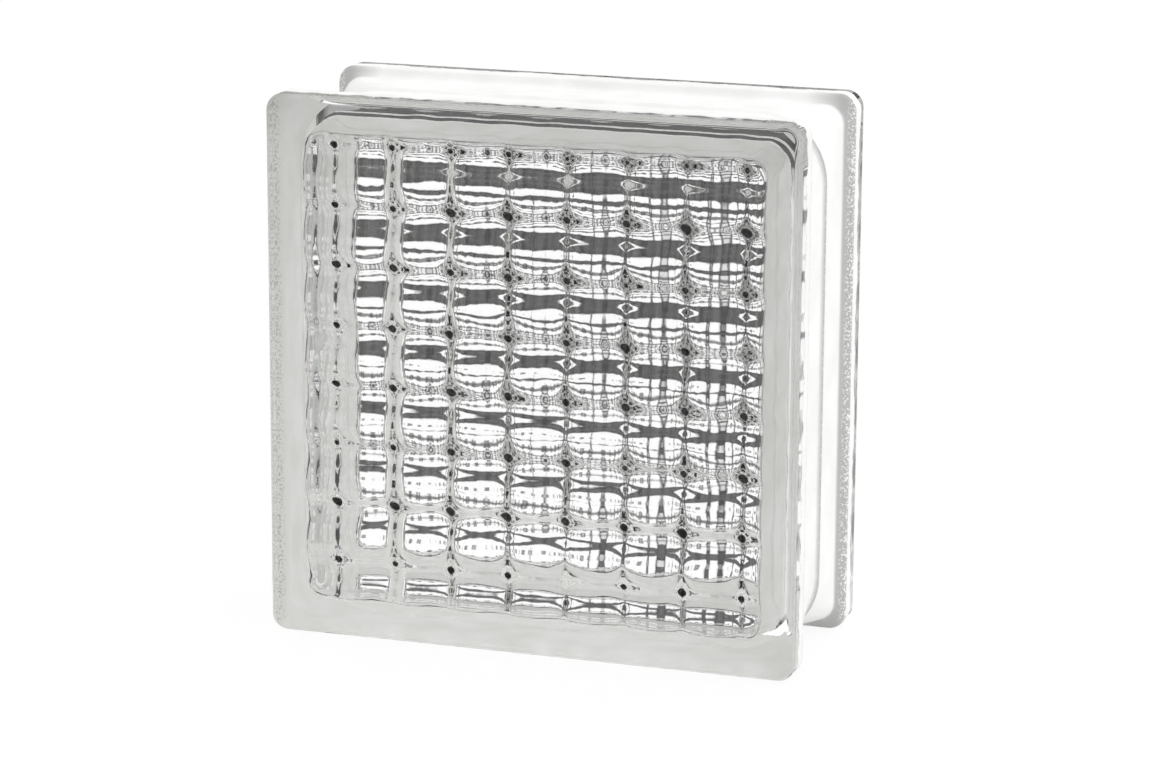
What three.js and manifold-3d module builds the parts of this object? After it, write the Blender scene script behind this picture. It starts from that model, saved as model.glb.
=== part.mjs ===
// Hollow glass block for walls: two pressed glass halves, fused face to face at mid depth.
// Millimetres. +Z is up, +X runs along the front face, +Y goes from the front face to the rear one.
// The origin is under the middle of the block, which stands on the edges of its flanges.
import * as THREE from "three";
import { mergeVertices } from "three/addons/utils/BufferGeometryUtils.js";
import Module from "manifold-3d";

const wasm = await Module();
wasm.setup();

// The block as a whole
const faceWidth = 190;
const faceHeight = 190;
const blockDepth = 80;

// The flange that runs round each face
const flangeThickness = 13;
const flangeCorner = 6; // radius of the face's corners
const rimRound = 2.5; // rounding between the face and the flange's edge
const flangeBackRound = 1.2;

// The mortar channel between the two flanges
const channelRecess = 3.5; // how far its floor lies below the flange's edge
const channelFillet = 3; // concave run from the flange down to the floor
const channelCorner = 22;
const seamBeadHeight = 1.2; // bead of glass where the halves are fused
const seamBeadRun = 1.2;

// The pressed hollow in each half
const faceBorder = 14.5; // plain margin of the face round the patterned window
const sideWall = 4.8; // from the channel's floor to the hollow, at the seam
const windowCorner = 6;
const hollowCorner = 16; // at the seam
const hollowEdgeRound = 1.4; // how far the hollow narrows from the ribs to the bowls

// The flutes pressed into the pane's inner face: one set runs upright, an equal set runs across it.
// A bowl forms where two troughs cross and a peak where two ribs cross.
const bowlGlass = 3.4; // from the face to the bottom of a bowl, where the pane is thinnest
const flutePitch = 21;
const troughWidth = 13; // the rib beside each trough takes up the rest of the pitch
const troughRadius = 13;

// Facets
const cornerSteps = 6;
const roundSteps = 3;
const fluteSteps = 6; // to one pitch

const halfDepth = blockDepth / 2;
const halfWidth = faceWidth / 2;
const halfHeight = faceHeight / 2;
const halfPitch = flutePitch / 2;
const halfTrough = troughWidth / 2;
const ribRadius = (troughRadius * (halfPitch - halfTrough)) / halfTrough; // the arcs meet at one slope
const sagitta = (radius, halfChord) => radius - Math.sqrt(radius ** 2 - halfChord ** 2);
const fluteHeight = sagitta(troughRadius, halfTrough) + sagitta(ribRadius, halfPitch - halfTrough);
const paneThickness = bowlGlass + 2 * fluteHeight; // at a peak
const cutOver = 2; // a cutting solid reaches this far past what it cuts

// One ring of a loft: a rectangle with round corners, inset from the face's outline.
function ring(depth, inset, cornerRadius) {
  const points = [];
  for (let corner = 0; corner < 4; corner++) {
    const start = (corner * Math.PI) / 2;
    const sideX = Math.sign(Math.cos(start + Math.PI / 4));
    const sideZ = Math.sign(Math.sin(start + Math.PI / 4));
    const centreX = sideX * (halfWidth - inset - cornerRadius);
    const centreZ = sideZ * (halfHeight - inset - cornerRadius);
    for (let step = 0; step <= cornerSteps; step++) {
      const angle = start + ((step / cornerSteps) * Math.PI) / 2;
      points.push(
        new THREE.Vector3(
          centreX + cornerRadius * Math.cos(angle),
          depth - halfDepth,
          centreZ + cornerRadius * Math.sin(angle),
        ),
      );
    }
  }
  return points;
}

// A closed skin over rings that go from the front to the back.
function loft(rings) {
  const count = rings[0].length;
  const index = [];
  for (let level = 0; level < rings.length - 1; level++) {
    for (let at = 0; at < count; at++) {
      const next = (at + 1) % count;
      const near = level * count;
      const far = near + count;
      index.push(near + at, far + at, far + next, near + at, far + next, near + next);
    }
  }
  const last = (rings.length - 1) * count;
  for (let at = 0; at < count / 2 - 1; at++) {
    const across = count - 2 - at;
    index.push(at, at + 1, across, at, across, across + 1);
    index.push(last + at, last + across, last + at + 1);
    index.push(last + at, last + across + 1, last + across);
  }
  const geometry = new THREE.BufferGeometry().setFromPoints(rings.flat());
  geometry.setIndex(index);
  return geometry;
}

function solidFrom(geometry) {
  const merged = mergeVertices(geometry, 1e-4);
  const vertProperties = merged.attributes.position.array;
  const triVerts = new Uint32Array(merged.index.array);
  return new wasm.Manifold(new wasm.Mesh({ numProp: 3, vertProperties, triVerts }));
}

function geometryFrom(solid) {
  const { vertProperties, triVerts } = solid.getMesh();
  const geometry = new THREE.BufferGeometry();
  geometry.setAttribute("position", new THREE.BufferAttribute(vertProperties, 3));
  geometry.setIndex(new THREE.BufferAttribute(triVerts, 1));
  const faceted = geometry.toNonIndexed();
  faceted.computeVertexNormals();
  return faceted;
}

// Outside of one half, from its face to the seam: rounded rim, flange, channel and seam bead.
function outsideOfHalf() {
  const rings = [];
  for (let step = 0; step <= roundSteps; step++) {
    const angle = ((step / roundSteps) * Math.PI) / 2;
    const inset = rimRound * (1 - Math.sin(angle));
    rings.push(ring(rimRound * (1 - Math.cos(angle)), inset, flangeCorner - inset));
  }
  for (let step = 0; step <= roundSteps; step++) {
    const angle = ((step / roundSteps) * Math.PI) / 2;
    const inset = flangeBackRound * (1 - Math.cos(angle));
    const depth = flangeThickness - flangeBackRound * (1 - Math.sin(angle));
    rings.push(ring(depth, inset, flangeCorner - inset));
  }
  const filletDrop = channelRecess - flangeBackRound;
  for (let step = 1; step <= roundSteps; step++) {
    const angle = ((step / roundSteps) * Math.PI) / 2;
    const share = Math.sin(angle);
    const inset = flangeBackRound + filletDrop * share;
    const depth = flangeThickness + channelFillet * (1 - Math.cos(angle));
    const cornerRadius = THREE.MathUtils.lerp(flangeCorner, channelCorner, share);
    rings.push(ring(depth, inset, cornerRadius));
  }
  rings.push(ring(halfDepth - seamBeadRun, channelRecess, channelCorner));
  rings.push(ring(halfDepth, channelRecess - seamBeadHeight, channelCorner));
  return solidFrom(loft(rings));
}

// Height of one flute over the bottom of its trough, at a distance across it.
function fluteAt(across) {
  const offTrough = Math.abs(across - flutePitch * Math.round(across / flutePitch));
  if (offTrough <= halfTrough) return sagitta(troughRadius, offTrough);
  return fluteHeight - sagitta(ribRadius, halfPitch - offTrough);
}

// Fluted end of the plunger: a height field wider than the window, closed into a solid by a flat
// copy past the seam and a wall along each edge.
function flutedBlock() {
  const countX = 2 * fluteSteps * Math.ceil((halfWidth - faceBorder) / flutePitch);
  const countZ = 2 * fluteSteps * Math.ceil((halfHeight - faceBorder) / flutePitch);
  const spacing = flutePitch / fluteSteps;
  const points = [];
  for (let column = 0; column <= countX; column++) {
    for (let row = 0; row <= countZ; row++) {
      const x = (column - countX / 2) * spacing;
      const z = (row - countZ / 2) * spacing;
      const depth = bowlGlass + fluteAt(x) + fluteAt(z);
      points.push(new THREE.Vector3(x, depth - halfDepth, z), new THREE.Vector3(x, cutOver, z));
    }
  }
  const fluted = (column, row) => 2 * (column * (countZ + 1) + row);
  const flat = (column, row) => fluted(column, row) + 1;
  const index = [];
  const quad = (a, b, c, d) => index.push(a, b, c, a, c, d);
  for (let column = 0; column < countX; column++) {
    const next = column + 1;
    for (let row = 0; row < countZ; row++) {
      quad(fluted(column, row), fluted(next, row), fluted(next, row + 1), fluted(column, row + 1));
      quad(flat(column, row), flat(column, row + 1), flat(next, row + 1), flat(next, row));
    }
    quad(fluted(column, 0), flat(column, 0), flat(next, 0), fluted(next, 0));
    quad(fluted(next, countZ), flat(next, countZ), flat(column, countZ), fluted(column, countZ));
  }
  for (let row = 0; row < countZ; row++) {
    const next = row + 1;
    quad(fluted(0, row), fluted(0, next), flat(0, next), flat(0, row));
    quad(fluted(countX, row), flat(countX, row), flat(countX, next), fluted(countX, next));
  }
  const geometry = new THREE.BufferGeometry().setFromPoints(points);
  geometry.setIndex(index);
  return solidFrom(geometry);
}

// The plunger that presses the hollow: its outline widens from the window to the seam.
function plunger() {
  const seamInset = channelRecess + sideWall;
  const outline = loft([
    ring(bowlGlass - cutOver, faceBorder + hollowEdgeRound, windowCorner),
    ring(bowlGlass, faceBorder + hollowEdgeRound, windowCorner),
    ring(paneThickness, faceBorder, windowCorner),
    ring(halfDepth, seamInset, hollowCorner),
    ring(halfDepth + cutOver, seamInset, hollowCorner),
  ]);
  return solidFrom(outline).intersect(flutedBlock());
}

const half = geometryFrom(outsideOfHalf().subtract(plunger()));

const pressedGlass = new THREE.MeshStandardMaterial({
  color: 0xdde3dc,
  roughness: 0.05,
  metalness: 0,
  transparent: true,
  opacity: 0.5,
});

const frontHalf = new THREE.Mesh(half, pressedGlass);
frontHalf.name = "front_half";
frontHalf.position.z = halfHeight;

// The same pressing, turned about the upright axis so that the two open sides meet.
const rearHalf = new THREE.Mesh(half, pressedGlass.clone());
rearHalf.name = "rear_half";
rearHalf.position.z = halfHeight;
rearHalf.rotation.z = Math.PI;

const glassBlock = new THREE.Group();
glassBlock.name = "glass_block";
glassBlock.add(frontHalf, rearHalf);

export default glassBlock;
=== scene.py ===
import math
import random
import bpy
from mathutils import Matrix, Vector


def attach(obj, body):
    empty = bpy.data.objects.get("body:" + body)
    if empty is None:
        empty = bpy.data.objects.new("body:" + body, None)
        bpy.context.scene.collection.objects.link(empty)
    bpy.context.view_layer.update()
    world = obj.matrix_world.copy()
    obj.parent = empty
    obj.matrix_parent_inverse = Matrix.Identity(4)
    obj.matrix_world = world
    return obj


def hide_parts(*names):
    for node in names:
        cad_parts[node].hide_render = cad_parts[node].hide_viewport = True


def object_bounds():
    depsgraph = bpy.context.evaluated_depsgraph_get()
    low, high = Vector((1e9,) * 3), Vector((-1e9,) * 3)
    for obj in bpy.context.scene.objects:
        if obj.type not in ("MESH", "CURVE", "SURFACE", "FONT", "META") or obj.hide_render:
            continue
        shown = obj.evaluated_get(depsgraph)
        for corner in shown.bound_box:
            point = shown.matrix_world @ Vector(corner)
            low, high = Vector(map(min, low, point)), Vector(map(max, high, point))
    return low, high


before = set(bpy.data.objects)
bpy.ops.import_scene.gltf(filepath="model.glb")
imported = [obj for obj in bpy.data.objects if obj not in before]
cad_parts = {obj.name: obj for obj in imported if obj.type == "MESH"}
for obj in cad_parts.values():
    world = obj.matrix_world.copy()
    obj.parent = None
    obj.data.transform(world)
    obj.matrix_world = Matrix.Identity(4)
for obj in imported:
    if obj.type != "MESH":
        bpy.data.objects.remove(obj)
cadLow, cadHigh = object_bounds()
print("frame loaded")

mm = 0.001  # everything below is in millimetres until it becomes a mesh
degree = math.radians(1)
phaseTurn = 6.28  # random phases are drawn over one turn
halfWidth = (cadHigh.x - cadLow.x) / 2 / mm
halfDepth = (cadHigh.y - cadLow.y) / 2 / mm
halfHeight = (cadHigh.z - cadLow.z) / 2 / mm
blockMiddle = (cadLow + cadHigh) / 2


def linearFromHex(hexColour):
    channels = [int(hexColour[at:at + 2], 16) / 255 for at in (1, 3, 5)]
    linear = [c / 12.92 if c <= 0.04045 else ((c + 0.055) / 1.055) ** 2.4 for c in channels]
    return (*linear, 1.0)


def patternScale(sizeMm):
    # a texture's scale counts its cells in one metre
    return 1000 / sizeMm


# sockets of a Mix node: its share, its two numbers or two colours, and the colour that comes out
mixShare, mixNumberA, mixNumberB = 0, 2, 3
mixColourA, mixColourB, mixColourOut = 6, 7, 2


def addNode(tree, kind, settings=None, links=None):
    # settings hold properties by name and inputs by name or number, links hold sockets to join
    node = tree.nodes.new(kind)
    for key, value in (settings or {}).items():
        if isinstance(key, str) and hasattr(node, key):
            setattr(node, key, value)
        else:
            node.inputs[key].default_value = value
    for key, socket in (links or {}).items():
        tree.links.new(socket, node.inputs[key])
    return node


def levelRamp(tree, source, unit, stops):
    # a level by angle or place; the stops are in that unit and run from one end of the ramp to the other
    low, high = stops[0][0], stops[-1][0]
    share = addNode(tree, "ShaderNodeMapRange", {"From Min": low * unit, "From Max": high * unit},
                    {"Value": source})
    ramp = addNode(tree, "ShaderNodeValToRGB", {}, {"Fac": share.outputs[0]})
    elements = ramp.color_ramp.elements
    for at, (stop, level) in enumerate(stops):
        element = elements[at] if at < 2 else elements.new(1.0)
        element.position = (stop - low) / (high - low)
        element.color = (level, level, level, 1)
    return ramp.outputs["Color"]


def newMaterial(name):
    material = bpy.data.materials.new(name)
    material.use_nodes = True
    material.node_tree.nodes.clear()
    return material, material.node_tree


def newObject(name, places, faces, material):
    # places are in metres
    mesh = bpy.data.meshes.new(name)
    mesh.from_pydata(places, [], faces)
    mesh.materials.append(material)
    made = bpy.data.objects.new(name, mesh)
    bpy.context.scene.collection.objects.link(made)
    return made


def meshPiece(name, points, faces, material, flatFaces=()):
    # points are in millimetres from the block's middle; all is smooth but flatFaces and sharp turns
    places = [(x * mm, y * mm, z * mm + blockMiddle.z) for x, y, z in points]
    piece = newObject(name, places, faces, material)
    mesh = piece.data
    mesh.polygons.foreach_set("use_smooth", [True] * len(mesh.polygons))
    for at in flatFaces:
        mesh.polygons[at].use_smooth = False
    mesh.set_sharp_from_angle(angle=math.radians(blockSides["sharpAngle"]))
    mesh.update()
    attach(piece, "root")
    return piece


# the block's outline from the front and round its sides, for both the glass and the coating
blockSides = {
    "flangeThickness": 13,
    "flangeCorner": 6,
    "rimRound": 2.5,  # clear rounded edge round each face
    "edgeDepths": (4.1, 6.1),  # rings across the flange's flat edge, from the face
    "flangeBackRound": 1.2,
    "channelRecess": 3.5,
    "channelFillet": 3,
    "channelCorner": 7,  # beside the flange
    "seamCorner": 24,  # the channel's corner opens out towards the seam
    "seamBeadHeight": 1.2,  # where the halves are fused
    "seamBeadRun": 1.2,
    "seamBeadShape": ((1.0, 0.0), (0.5, 0.8), (0.2, 1.0)),  # shares of its run and height, up to the seam
    "roundSteps": 6,
    "cornerSteps": 10,
    "sideSteps": 12,  # along each side of the glass between two corners
    "sharpAngle": 35,  # faces that meet at more degrees than this keep a crisp edge
}


def outlineLoop(inset, cornerRadius, sideSteps):
    # rounded rectangle seen from the front, anticlockwise, with the same count at every inset
    cornerSteps = blockSides["cornerSteps"]
    straightX = halfWidth - inset - cornerRadius
    straightZ = halfHeight - inset - cornerRadius
    arcs = []
    for signX, signZ, start in ((1, 1, 0), (-1, 1, 1), (-1, -1, 2), (1, -1, 3)):
        arc = []
        for step in range(cornerSteps + 1):
            angle = start * math.pi / 2 + math.pi / 2 * step / cornerSteps
            arc.append((signX * straightX + cornerRadius * math.cos(angle),
                        signZ * straightZ + cornerRadius * math.sin(angle)))
        arcs.append(arc)
    loop = []
    for arc, nextArc in zip(arcs, arcs[1:] + arcs[:1]):
        loop += arc
        (endX, endZ), (goalX, goalZ) = arc[-1], nextArc[0]
        for step in range(1, sideSteps):
            share = step / sideSteps
            loop.append((endX + (goalX - endX) * share, endZ + (goalZ - endZ) * share))
    return loop


def sideProfile():
    # (depth from the face, inset, corner radius) from one face to the seam
    s = blockSides
    angles = [math.pi / 2 * step / s["roundSteps"] for step in range(s["roundSteps"] + 1)]
    profile = []
    for angle in angles:
        inset = s["rimRound"] * (1 - math.sin(angle))
        profile.append((s["rimRound"] * (1 - math.cos(angle)), inset, s["flangeCorner"] - inset))
    profile += [(depth, 0, s["flangeCorner"]) for depth in s["edgeDepths"]]
    for angle in angles:
        inset = s["flangeBackRound"] * (1 - math.cos(angle))
        depth = s["flangeThickness"] - s["flangeBackRound"] * (1 - math.sin(angle))
        profile.append((depth, inset, s["flangeCorner"] - inset))
    drop = s["channelRecess"] - s["flangeBackRound"]
    for angle in angles[1:]:
        share = math.sin(angle)
        depth = s["flangeThickness"] + s["channelFillet"] * (1 - math.cos(angle))
        corner = s["flangeCorner"] + (s["channelCorner"] - s["flangeCorner"]) * share
        profile.append((depth, s["flangeBackRound"] + drop * share, corner))
    for run, height in s["seamBeadShape"]:
        inset = s["channelRecess"] - s["seamBeadHeight"] * height
        profile.append((halfDepth - s["seamBeadRun"] * run, inset, s["seamCorner"]))
    return profile


def wholeProfile():
    # both halves, as (y, inset, corner radius)
    near = [(depth - halfDepth, inset, corner) for depth, inset, corner in sideProfile()]
    return near + [(-y, inset, corner) for y, inset, corner in reversed(near)]


def joinRings(faces, near, far, around):
    # a band of faces between two rings, given the first point of each
    for at in range(around):
        after = (at + 1) % around
        faces.append((near + at, far + at, far + after, near + after))


# the glass: both pressed halves fused into one hollow body
pressedHollow = {
    "faceBorder": 14.5,  # plain margin round the patterned window
    "windowCorner": 6,
    "cornerPower": 6,  # the higher, the nearer to the window's edge the grid starts to round
    "sideWall": 6.5,  # from the channel's floor to the hollow, at the seam
    "hollowCorner": 9,  # at the seam
    "wallBow": 0.3,  # how much thinner the wall is at the middle of each side
    "wallShares": (0.25, 0.5, 0.75),  # rings down the wall
    "edgeRound": 1.5,  # where a pane's inner face turns into the side wall
    "edgeRun": 1.8,
    "edgeSteps": 10,
    "seamSwell": ((1.8, 0.0), (0.6, 0.4)),  # beside the seam: distance from it and swell into the hollow
    "gridStep": 0.92,  # about how far apart the panes' points are
    "bowlGlass": 3.0,  # glass between the face and the bottom of a bowl
    "flutePitch": 20.875,
    "troughHalf": 6.9,  # half its width; the rib beside it takes up the rest of the pitch
    "troughRadius": 12.9,
    "frontShift": (-1.3, 1.48),  # where the pattern sits on each pane
    "rearShift": (0.0, 0.89),
    "rippleHeight": 0.07,  # slow unevenness left by the plunger
    "rippleLength": 9,
    "rippleSpread": (0.6, 1.8),  # shortest and longest wave, as shares of that length
    "rippleCount": 14,
    "frontSeed": 11, "rearSeed": 12, "wallSeed": 13,
}


def ripples(seed):
    # a few long waves in random directions
    h = pressedHollow
    draw = random.Random(seed)
    waves = []
    for _ in range(h["rippleCount"]):
        heading = draw.uniform(0, 2 * math.pi)
        length = h["rippleLength"] * draw.uniform(*h["rippleSpread"])
        height = h["rippleHeight"] * length / h["rippleLength"] / math.sqrt(h["rippleCount"] / 2)
        turn = 2 * math.pi / length
        waves.append((turn * math.cos(heading), turn * math.sin(heading), draw.uniform(0, phaseTurn), height))
    return waves


def rippleAt(waves, x, z):
    return sum(height * math.cos(kx * x + kz * z + phase) for kx, kz, phase, height in waves)


def arcRise(radius, off):
    # how far an arc has risen from its lowest point, at a distance to its side
    return radius - math.sqrt(radius ** 2 - off ** 2)


def fluteAt(across):
    # glass over the bottom of a trough: a hollow arc, then a rib's arc that meets it at one slope
    h = pressedHollow
    half = h["flutePitch"] / 2
    ribRadius = h["troughRadius"] * (half - h["troughHalf"]) / h["troughHalf"]
    off = abs(across - h["flutePitch"] * round(across / h["flutePitch"]))
    if off <= h["troughHalf"]:
        return arcRise(h["troughRadius"], off)
    rise = arcRise(h["troughRadius"], h["troughHalf"])
    crown = arcRise(ribRadius, half - h["troughHalf"])
    return rise + crown - arcRise(ribRadius, half - off)


def windowPoint(u, v, halfX, halfZ, corner):
    # u and v run from -1 to 1; the square grid is drawn onto a window with round corners
    reach = max(abs(u), abs(v))
    radius = corner * reach ** pressedHollow["cornerPower"]
    x, z = abs(u) * halfX, abs(v) * halfZ
    overX = x - (halfX * reach - radius)
    overZ = z - (halfZ * reach - radius)
    if overX > 0 and overZ > 0:
        pull = radius / math.hypot(overX, overZ)
        x += overX * (pull - 1)
        z += overZ * (pull - 1)
    return math.copysign(x, u), math.copysign(z, v)


def buildPane(points, faces, grid, side, shift, seed):
    # one patterned pane, facing into the hollow; returns its first point and its points' depths
    h = pressedHollow
    halfX = halfWidth - h["faceBorder"]
    halfZ = halfHeight - h["faceBorder"]
    waves = ripples(seed)
    first = len(points)
    across = len(grid)
    depths = {}
    for i, u in enumerate(grid):
        for j, v in enumerate(grid):
            x, z = windowPoint(u, v, halfX, halfZ, h["windowCorner"])
            glass = h["bowlGlass"] + fluteAt(x - shift[0]) + fluteAt(z - shift[1])
            glass += rippleAt(waves, x, z)
            depths[i, j] = halfDepth - glass
            points.append((x, side * depths[i, j], z))
    for i in range(across - 1):
        for j in range(across - 1):
            a = first + i * across + j
            quad = (a, a + across, a + across + 1, a + 1)
            faces.append(quad if side > 0 else quad[::-1])
    return first, depths


def wallRun(paneDepth, reach):
    # (distance out from the window, depth from the seam) from a pane's edge down to the seam
    h = pressedHollow
    run = []
    for step in range(1, h["edgeSteps"] + 1):
        angle = math.pi / 2 * step / h["edgeSteps"]
        run.append((h["edgeRun"] * math.sin(angle), paneDepth - h["edgeRound"] * (1 - math.cos(angle))))
    for share in h["wallShares"]:
        out = h["edgeRun"] + (reach - h["edgeRun"]) * share
        run.append((out, (paneDepth - h["edgeRound"]) * (1 - share)))
    return run + [(reach - swell, depth) for depth, swell in h["seamSwell"]]


def buildHollow(points, faces):
    # two patterned panes and the wall between them
    h = pressedHollow
    halfX = halfWidth - h["faceBorder"]
    halfZ = halfHeight - h["faceBorder"]
    count = int(2 * halfX / h["gridStep"])
    grid = [-1 + 2 * at / count for at in range(count + 1)]
    frontFirst, frontDepths = buildPane(points, faces, grid, -1, h["frontShift"], h["frontSeed"])
    rearFirst, rearDepths = buildPane(points, faces, grid, 1, h["rearShift"], h["rearSeed"])
    # border of the grid, anticlockwise from the lower left
    rim = [(i, 0) for i in range(count)] + [(count, j) for j in range(count)]
    rim += [(i, count) for i in range(count, 0, -1)] + [(0, j) for j in range(count, 0, -1)]
    seamReach = h["faceBorder"] - blockSides["channelRecess"] - h["sideWall"]
    waves = ripples(h["wallSeed"])
    # the wall has one column of points, from the front pane to the rear one, at each point of that border
    start = len(points)
    for i, j in rim:
        u, v = grid[i], grid[j]
        along = v if abs(u) == 1 else u
        reach = seamReach + h["wallBow"] * (1 - along ** 2)
        for side, depths in ((-1, frontDepths), (1, rearDepths)):
            places = []
            for out, depth in wallRun(depths[i, j], reach):
                part = (out - h["edgeRun"]) / (reach - h["edgeRun"]) if out > h["edgeRun"] else 0
                corner = h["windowCorner"] + (h["hollowCorner"] - h["windowCorner"]) * part
                sway = rippleAt(waves, depth, (i - j) * h["gridStep"]) * part
                x, z = windowPoint(u, v, halfX + out + sway, halfZ + out + sway, corner)
                places.append((x, side * depth, z))
            points.extend(places if side < 0 else places[::-1])
    height = (len(points) - start) // len(rim)
    for at, (i, j) in enumerate(rim):
        after = (at + 1) % len(rim)
        nextI, nextJ = rim[after]
        here, there = start + at * height, start + after * height
        spot, nextSpot = i * (count + 1) + j, nextI * (count + 1) + nextJ
        faces.append((frontFirst + spot, frontFirst + nextSpot, there, here))
        for level in range(height - 1):
            faces.append((here + level, there + level, there + level + 1, here + level + 1))
        faces.append((here + height - 1, there + height - 1, rearFirst + nextSpot, rearFirst + spot))


def buildGlass(material):
    points, faces = [], []
    coatRoom = edgeCoat["thickness"]
    rings = wholeProfile()
    for y, inset, corner in rings:
        loop = outlineLoop(inset + coatRoom, corner - coatRoom, blockSides["sideSteps"])
        points.extend((x, y, z) for x, z in loop)
    around = len(loop)
    last = len(points) - around
    for near in range(0, last, around):
        joinRings(faces, near, near + around, around)
    flat = [len(faces), len(faces) + 1]
    faces.append(tuple(range(around)))
    faces.append(tuple(last + at for at in reversed(range(around))))
    buildHollow(points, faces)
    return meshPiece("glass_body", points, faces, material, flatFaces=flat)


# the white coating on the edges
edgeCoat = {
    "thickness": 0.1,
    "bite": 0.05,  # sunk into the glass, so light meets it from inside with no air between
    "start": 6.8,  # clear rim left beside each face
    "ragged": 0.9,  # how unevenly its edge was brushed
    "waveTurns": (7, 13, 29, 53, 97, 131),  # waves in that edge, counted round the block
    "waveCount": 9,
    "waveShare": 0.25,
    "bristle": 0.5,  # what each point adds of its own
    "sideSteps": 100,
    "seed": 21,
}


def raggedEdge(draw, around):
    c = edgeCoat
    waves = [(draw.choice(c["waveTurns"]), draw.uniform(0, phaseTurn)) for _ in range(c["waveCount"])]
    edge = []
    for at in range(around):
        sway = sum(math.sin(2 * math.pi * turns * at / around + phase) for turns, phase in waves)
        edge.append(c["ragged"] * (sway * c["waveShare"] + draw.uniform(-c["bristle"], c["bristle"])))
    return edge


def buildCoat(outerPaint, innerPaint):
    c = edgeCoat
    reach = halfDepth - c["start"]
    rings = [(-reach, 0, blockSides["flangeCorner"])]
    rings += [ring for ring in wholeProfile() if abs(ring[0]) < reach]
    rings.append((reach, 0, blockSides["flangeCorner"]))
    draw = random.Random(c["seed"])
    around = 4 * (blockSides["cornerSteps"] + c["sideSteps"])
    frontEdge = raggedEdge(draw, around)
    rearEdge = raggedEdge(draw, around)
    points, faces = [], []
    for skinRings, grow in ((rings, 0), (rings[::-1], c["thickness"] + c["bite"])):
        for y, inset, corner in skinRings:
            loop = outlineLoop(inset + grow, corner - grow, c["sideSteps"])
            for step, (x, z) in enumerate(loop):
                move = 0
                if y == -reach:
                    move = frontEdge[step]
                elif y == reach:
                    move = -rearEdge[step]
                points.append((x, y + move, z))
    for near in range(0, len(points), around):
        joinRings(faces, near, (near + around) % len(points), around)
    coat = meshPiece("edge_coating", points, faces, outerPaint)
    coat.data.materials.append(innerPaint)
    for at, polygon in enumerate(coat.data.polygons):
        polygon.material_index = 1 if at >= len(faces) // 2 else 0  # the second half faces the glass
    return coat


pressedGlass = {
    "ior": 1.52,
    "roughness": 0.0,
    "base": "#ffffff",
    "absorb": "#e3e4e1",
    "density": 2.0,
    "peelMm": 1.0,  # size of the faint orange peel that a pressed surface keeps
    "peelDepthMm": 0.006,
    "peelDetail": 3.0,
}


def makePressedGlass():
    # soda-lime glass, pressed hot and fire polished: clear, faintly green where it is thick
    g = pressedGlass
    material, tree = newMaterial("soda_lime_glass_pressed")
    place = addNode(tree, "ShaderNodeTexCoord")
    peel = addNode(tree, "ShaderNodeTexNoise",
                   {"Scale": patternScale(g["peelMm"]), "Detail": g["peelDetail"]},
                   {"Vector": place.outputs["Object"]})
    bump = addNode(tree, "ShaderNodeBump", {"Strength": 1.0, "Distance": g["peelDepthMm"] * mm},
                   {"Height": peel.outputs["Fac"]})
    shader = addNode(tree, "ShaderNodeBsdfPrincipled",
                     {"Base Color": linearFromHex(g["base"]), "Transmission Weight": 1.0, "IOR": g["ior"],
                      "Roughness": g["roughness"]},
                     {"Normal": bump.outputs["Normal"]})
    depth = addNode(tree, "ShaderNodeVolumeAbsorption",
                    {"Color": linearFromHex(g["absorb"]), "Density": g["density"]})
    addNode(tree, "ShaderNodeOutputMaterial", {},
            {"Surface": shader.outputs["BSDF"], "Volume": depth.outputs["Volume"]})
    return material


edgePaint = {
    # each set's third tone is painted shade for the seam's bead and the flange's wall; under the glass it
    # hardly darkens
    "outside": {"light": "#fafaf9", "dark": "#f3f3f1", "paintedShade": "#bcbcba", "speck": "#f4f4f3"},
    "underGlass": {"light": "#ffffff", "dark": "#f4f4f2", "paintedShade": "#f6f6f4", "speck": "#d4d5d1"},
    "cloudMm": 14,  # slow change in how thickly it was brushed
    "cloudDetail": 4.0,
    "cloudEdges": (0.35, 0.65),
    "grainMm": 0.7,  # grit that keys the mortar, drawn a little coarser than it is so that it shows
    "grainDetail": 2.0,
    "grainDepthMm": 0.06,
    "roughness": 0.6,
    # painted shade where the walls face the front and fall in shade, by distance from the seam: over the bead
    # and up the flange's wall
    "paintedShadeStops": ((0, 1.0), (0.5, 1.0), (1.3, 0.0), (23.6, 0.0), (25.6, 1.0), (28.0, 1.0), (28.6, 0.0),
                  (40, 0.0)),
    # the painted shade goes only on the upright sides, by distance from the block's middle
    "paintedShadeSideStops": ((0, 0.0), (78, 0.0), (90, 1.0), (95, 1.0)),
    "speckMm": 0.75,  # bare spots between the grit, on the flanges' upright edges only
    "speckDetail": 1.0,
    "speckStops": ((0, 0.0), (92.0, 0.0), (93.6, 1.0), (95, 1.0)),  # by distance from the block's middle
    "speckEdges": (0.52, 0.6),
}


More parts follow.
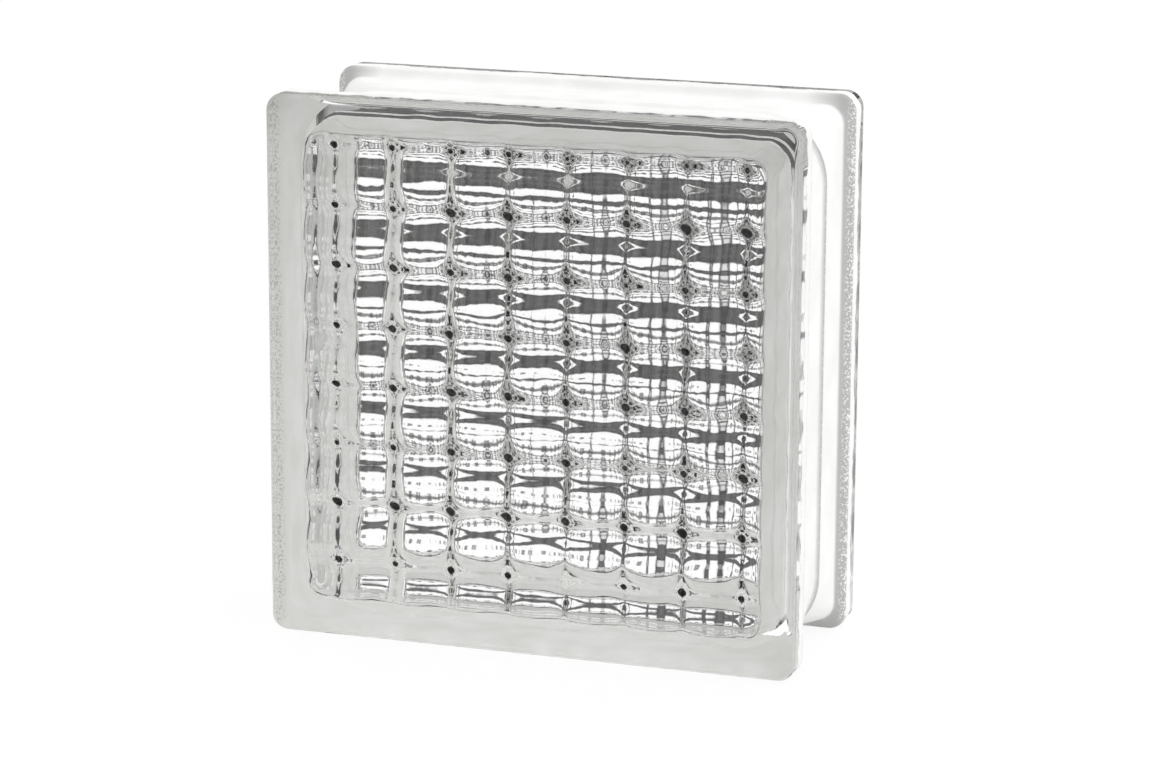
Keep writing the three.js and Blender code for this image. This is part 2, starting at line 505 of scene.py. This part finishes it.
def makeEdgePaint(name, tones):
    # white vinyl paint brushed on over fine grit: dull, with a sandy grain, and painted shade over the seam's
    # bead and the flange's wall
    p = edgePaint
    material, tree = newMaterial(name)
    place = addNode(tree, "ShaderNodeTexCoord")
    byPlace = {"Vector": place.outputs["Object"]}
    cloud = addNode(tree, "ShaderNodeTexNoise",
                    {"Scale": patternScale(p["cloudMm"]), "Detail": p["cloudDetail"]}, byPlace)
    tone = addNode(tree, "ShaderNodeValToRGB", {}, {"Fac": cloud.outputs["Fac"]})
    for element, edge, shade in zip(tone.color_ramp.elements, p["cloudEdges"], ("dark", "light")):
        element.position = edge
        element.color = linearFromHex(tones[shade])
    axes = addNode(tree, "ShaderNodeSeparateXYZ", {}, byPlace)
    fromSeam = addNode(tree, "ShaderNodeMath", {"operation": "ABSOLUTE"}, {0: axes.outputs["Y"]})
    fromMiddle = addNode(tree, "ShaderNodeMath", {"operation": "ABSOLUTE"}, {0: axes.outputs["X"]})
    # painted shade: a greyer tone over the seam's bead and the flange's wall, on the upright sides only
    paintedShadeShare = addNode(tree, "ShaderNodeMath", {"operation": "MULTIPLY"},
                       {0: levelRamp(tree, fromSeam.outputs[0], mm, p["paintedShadeStops"]),
                        1: levelRamp(tree, fromMiddle.outputs[0], mm, p["paintedShadeSideStops"])})
    shadedTone = addNode(tree, "ShaderNodeMix",
                      {"data_type": "RGBA", mixColourB: linearFromHex(tones["paintedShade"])},
                      {mixShare: paintedShadeShare.outputs[0], mixColourA: tone.outputs["Color"]})
    onEdge = levelRamp(tree, fromMiddle.outputs[0], mm, p["speckStops"])
    spots = addNode(tree, "ShaderNodeTexNoise",
                    {"Scale": patternScale(p["speckMm"]), "Detail": p["speckDetail"]}, byPlace)
    bare = addNode(tree, "ShaderNodeMapRange",
                   {"From Min": p["speckEdges"][0], "From Max": p["speckEdges"][1]},
                   {"Value": spots.outputs["Fac"], "To Max": onEdge})
    speckled = addNode(tree, "ShaderNodeMix",
                       {"data_type": "RGBA", mixColourB: linearFromHex(tones["speck"])},
                       {mixShare: bare.outputs[0], mixColourA: shadedTone.outputs[mixColourOut]})
    grain = addNode(tree, "ShaderNodeTexNoise",
                    {"Scale": patternScale(p["grainMm"]), "Detail": p["grainDetail"]}, byPlace)
    bump = addNode(tree, "ShaderNodeBump", {"Strength": 1.0, "Distance": p["grainDepthMm"] * mm},
                   {"Height": grain.outputs["Fac"]})
    shader = addNode(tree, "ShaderNodeBsdfPrincipled", {"Roughness": p["roughness"]},
                     {"Base Color": speckled.outputs[mixColourOut], "Normal": bump.outputs["Normal"]})
    addNode(tree, "ShaderNodeOutputMaterial", {}, {"Surface": shader.outputs["BSDF"]})
    return material


glass = buildGlass(makePressedGlass())
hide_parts("front_half", "rear_half")
print("glass body built,", len(glass.data.polygons), "faces")

outerPaint = makeEdgePaint("vinyl_paint_gritted", edgePaint["outside"])
innerPaint = makeEdgePaint("vinyl_paint_under_glass", edgePaint["underGlass"])
coat = buildCoat(outerPaint, innerPaint)
print("edge coating built,", len(coat.data.polygons), "faces")


# what the clear glass sees all round, and the plain light that reaches the paint and the floor
studio = {
    # level of the white surroundings by height above the horizon, in degrees
    "heightStops": ((-90, 0.9), (-42, 0.9), (-36, 0.2), (-32, 0.2), (-24, 1.0), (-11, 1.0), (-8, 0.06),
                    (35, 0.06), (45, 0.0), (90, 0.0)),
    # level by degrees to the side of a panel's middle; there is a panel every 90 degrees
    "sideStops": ((0, 1.0), (8, 1.0), (15, 0.2), (18, 0.2), (25, 0.7), (34, 0.7), (38, 0.0), (45, 0.0)),
    "panelHeading": -17,  # degrees clockwise from +Y to the middle of the panel behind the block
    "panelLevel": 1.15,
    "greyLevel": 0.075,
    "behindCamera": 0.01,  # the room behind the camera is dark
    "behindStops": ((0, 0.0), (80, 0.0), (100, 1.0), (180, 1.0)),  # degrees from the panel's middle
    "fillLevel": 0.84,  # plain light on what isn't clear
    "fillSlope": (0.25, 0.3, 0.55),  # how much more of it comes from +X, from behind and from above
}


def makeWorld():
    s = studio
    world = bpy.data.worlds.new("studio")
    bpy.context.scene.world = world
    world.cycles.sampling_method = "NONE"  # the fill below must reach dull faces by their own rays
    world.use_nodes = True
    tree = world.node_tree
    tree.nodes.clear()
    place = addNode(tree, "ShaderNodeTexCoord")
    axes = addNode(tree, "ShaderNodeSeparateXYZ", {}, {"Vector": place.outputs["Generated"]})
    height = addNode(tree, "ShaderNodeMath", {"operation": "ARCSINE"}, {0: axes.outputs["Z"]})
    heading = addNode(tree, "ShaderNodeMath", {"operation": "ARCTAN2"},
                      {0: axes.outputs["X"], 1: axes.outputs["Y"]})
    turned = addNode(tree, "ShaderNodeMath", {"operation": "SUBTRACT", 1: math.radians(s["panelHeading"])},
                     {0: heading.outputs[0]})
    sideReach = math.radians(s["sideStops"][-1][0])
    toSide = addNode(tree, "ShaderNodeMath", {"operation": "PINGPONG", 1: sideReach}, {0: turned.outputs[0]})
    byHeight = levelRamp(tree, height.outputs[0], degree, s["heightStops"])
    bySide = levelRamp(tree, toSide.outputs[0], degree, s["sideStops"])
    lit = addNode(tree, "ShaderNodeMath", {"operation": "MULTIPLY"}, {0: byHeight, 1: bySide})
    level = addNode(tree, "ShaderNodeMath",
                    {"operation": "MULTIPLY_ADD", 1: s["panelLevel"] - s["greyLevel"], 2: s["greyLevel"]},
                    {0: lit.outputs[0]})
    away = addNode(tree, "ShaderNodeMath", {"operation": "PINGPONG", 1: math.pi}, {0: turned.outputs[0]})
    behind = levelRamp(tree, away.outputs[0], degree, s["behindStops"])
    seen = addNode(tree, "ShaderNodeMix", {"data_type": "FLOAT", mixNumberB: s["behindCamera"]},
                   {mixShare: behind, mixNumberA: level.outputs[0]})
    slope = addNode(tree, "ShaderNodeVectorMath", {"operation": "DOT_PRODUCT", 1: s["fillSlope"]},
                    {0: place.outputs["Generated"]})
    sloped = addNode(tree, "ShaderNodeMath", {"operation": "ADD", 1: s["fillLevel"]},
                     {0: slope.outputs["Value"]})
    fill = addNode(tree, "ShaderNodeMath", {"operation": "MAXIMUM", 1: 0.0}, {0: sloped.outputs[0]})
    # the camera sees plain white, a ray from a dull face finds the fill, and any other finds the panels
    rays = addNode(tree, "ShaderNodeLightPath")
    onDull = addNode(tree, "ShaderNodeMath", {"operation": "GREATER_THAN", 1: 0.5},
                     {0: rays.outputs["Diffuse Depth"]})
    lightLevel = addNode(tree, "ShaderNodeMix", {"data_type": "FLOAT"},
                         {mixShare: onDull.outputs[0], mixNumberA: seen.outputs[0],
                          mixNumberB: fill.outputs[0]})
    byEye = addNode(tree, "ShaderNodeMix", {"data_type": "FLOAT", mixNumberB: 1.0},
                    {mixShare: rays.outputs["Is Camera Ray"], mixNumberA: lightLevel.outputs[0]})
    sky = addNode(tree, "ShaderNodeBackground", {"Strength": 1.0}, {"Color": byEye.outputs[0]})
    addNode(tree, "ShaderNodeOutputWorld", {}, {"Surface": sky.outputs[0]})


floorPlan = {
    "halfSize": 4.0,  # in metres, like the drop
    "drop": 0.0003,
    "colour": "#f4f4f4",
    "shadowShare": 0.1,  # how much of the floor's shading shows; the rest is plain white
}


def makeFloor():
    # uncoated white paper, rolled out flat: dull and even, so all that shows on it is a soft shadow
    f = floorPlan
    material, tree = newMaterial("paper_sweep_white")
    dull = addNode(tree, "ShaderNodeBsdfDiffuse", {"Color": linearFromHex(f["colour"])})
    glow = addNode(tree, "ShaderNodeEmission", {"Color": (1, 1, 1, 1), "Strength": 1.0})
    shown = addNode(tree, "ShaderNodeMixShader", {0: f["shadowShare"]},
                    {1: glow.outputs[0], 2: dull.outputs[0]})
    rays = addNode(tree, "ShaderNodeLightPath")
    mixed = addNode(tree, "ShaderNodeMixShader", {},
                    {0: rays.outputs["Is Camera Ray"], 1: dull.outputs[0], 2: shown.outputs[0]})
    addNode(tree, "ShaderNodeOutputMaterial", {}, {"Surface": mixed.outputs[0]})
    size, low = f["halfSize"], cadLow.z - f["drop"]
    corners = [(-size, -size, low), (size, -size, low), (size, size, low), (-size, size, low)]
    floor = newObject("floor", corners, [(0, 1, 2, 3)], material)
    floor.visible_transmission = False  # clear glass looks past it to the studio
    floor.visible_glossy = False


lightCard = {
    "behind": 320,  # from the rear face
    "left": -400, "right": 50,
    "bottom": -150, "top": 20,  # from the block's middle
    "rightFade": 60, "topFade": 50,  # how softly it darkens towards its edges
    "level": 1.15,
}


def makeLightCard():
    # smooth white card lit from behind: an even glow, near enough that each row of the pattern sees
    # another part of it
    c = lightCard
    material, tree = newMaterial("card_white_lit")
    place = addNode(tree, "ShaderNodeTexCoord")
    axes = addNode(tree, "ShaderNodeSeparateXYZ", {}, {"Vector": place.outputs["Object"]})
    fades = []
    for axis, edge, fade in (("X", c["right"] * mm, c["rightFade"] * mm),
                             ("Z", c["top"] * mm + blockMiddle.z, c["topFade"] * mm)):
        fades.append(addNode(tree, "ShaderNodeMapRange",
                             {"interpolation_type": "SMOOTHSTEP", "From Min": edge, "From Max": edge - fade},
                             {"Value": axes.outputs[axis]}))
    lit = addNode(tree, "ShaderNodeMath", {"operation": "MULTIPLY"},
                  {0: fades[0].outputs[0], 1: fades[1].outputs[0]})
    grey = studio["greyLevel"]
    level = addNode(tree, "ShaderNodeMath", {"operation": "MULTIPLY_ADD", 1: c["level"] - grey, 2: grey},
                    {0: lit.outputs[0]})
    glow = addNode(tree, "ShaderNodeEmission", {"Color": (1, 1, 1, 1)}, {"Strength": level.outputs[0]})
    addNode(tree, "ShaderNodeOutputMaterial", {}, {"Surface": glow.outputs[0]})
    corners = [(x * mm, (halfDepth + c["behind"]) * mm, z * mm + blockMiddle.z)
               for x, z in ((c["left"], c["bottom"]), (c["right"], c["bottom"]),
                            (c["right"], c["top"]), (c["left"], c["top"]))]
    card = newObject("light_card", corners, [(0, 1, 2, 3)], material)
    card.visible_camera = False
    card.visible_diffuse = False
    card.visible_shadow = False


makeWorld()
makeFloor()
makeLightCard()
print("studio built")

viewPoint = {
    "heading": -18.78,  # degrees clockwise from +Y
    "pitch": -13.31,
    "roll": 0.30,
    "distance": 1375,
    "right": 3.8, "up": -7.6,  # aim, off the block's middle
    "lens": 123.8,
    "sensor": 36,
    "clipEnd": 50,  # in metres
}


def makeCamera():
    v = viewPoint
    heading, pitch, roll = (math.radians(v[key]) for key in ("heading", "pitch", "roll"))
    level = math.cos(pitch)
    ahead = Vector((math.sin(heading) * level, math.cos(heading) * level, math.sin(pitch)))
    right = Vector((math.cos(heading), -math.sin(heading), 0))
    up = right.cross(ahead)
    rolledRight = math.cos(roll) * right + math.sin(roll) * up
    rolledUp = math.cos(roll) * up - math.sin(roll) * right
    spot = (-v["distance"] * ahead + v["right"] * rolledRight + v["up"] * rolledUp) * mm + blockMiddle
    data = bpy.data.cameras.new("camera")
    data.sensor_width = v["sensor"]
    data.lens = v["lens"]
    data.clip_end = v["clipEnd"]
    camera = bpy.data.objects.new("camera", data)
    bpy.context.scene.collection.objects.link(camera)
    turn = Matrix((rolledRight, rolledUp, -ahead)).transposed().to_4x4()
    camera.matrix_world = Matrix.Translation(spot) @ turn
    bpy.context.scene.camera = camera


makeCamera()
print("camera placed")

bounces = 48  # light crosses many faces of the pattern before it leaves the block
scene = bpy.context.scene
scene.view_settings.view_transform = "Standard"
scene.cycles.max_bounces = bounces
scene.cycles.transmission_bounces = bounces
scene.cycles.glossy_bounces = bounces
scene.cycles.diffuse_bounces = bounces
scene.cycles.blur_glossy = 0.0  # keep light sharp as it leaves the glass after lighting the paint
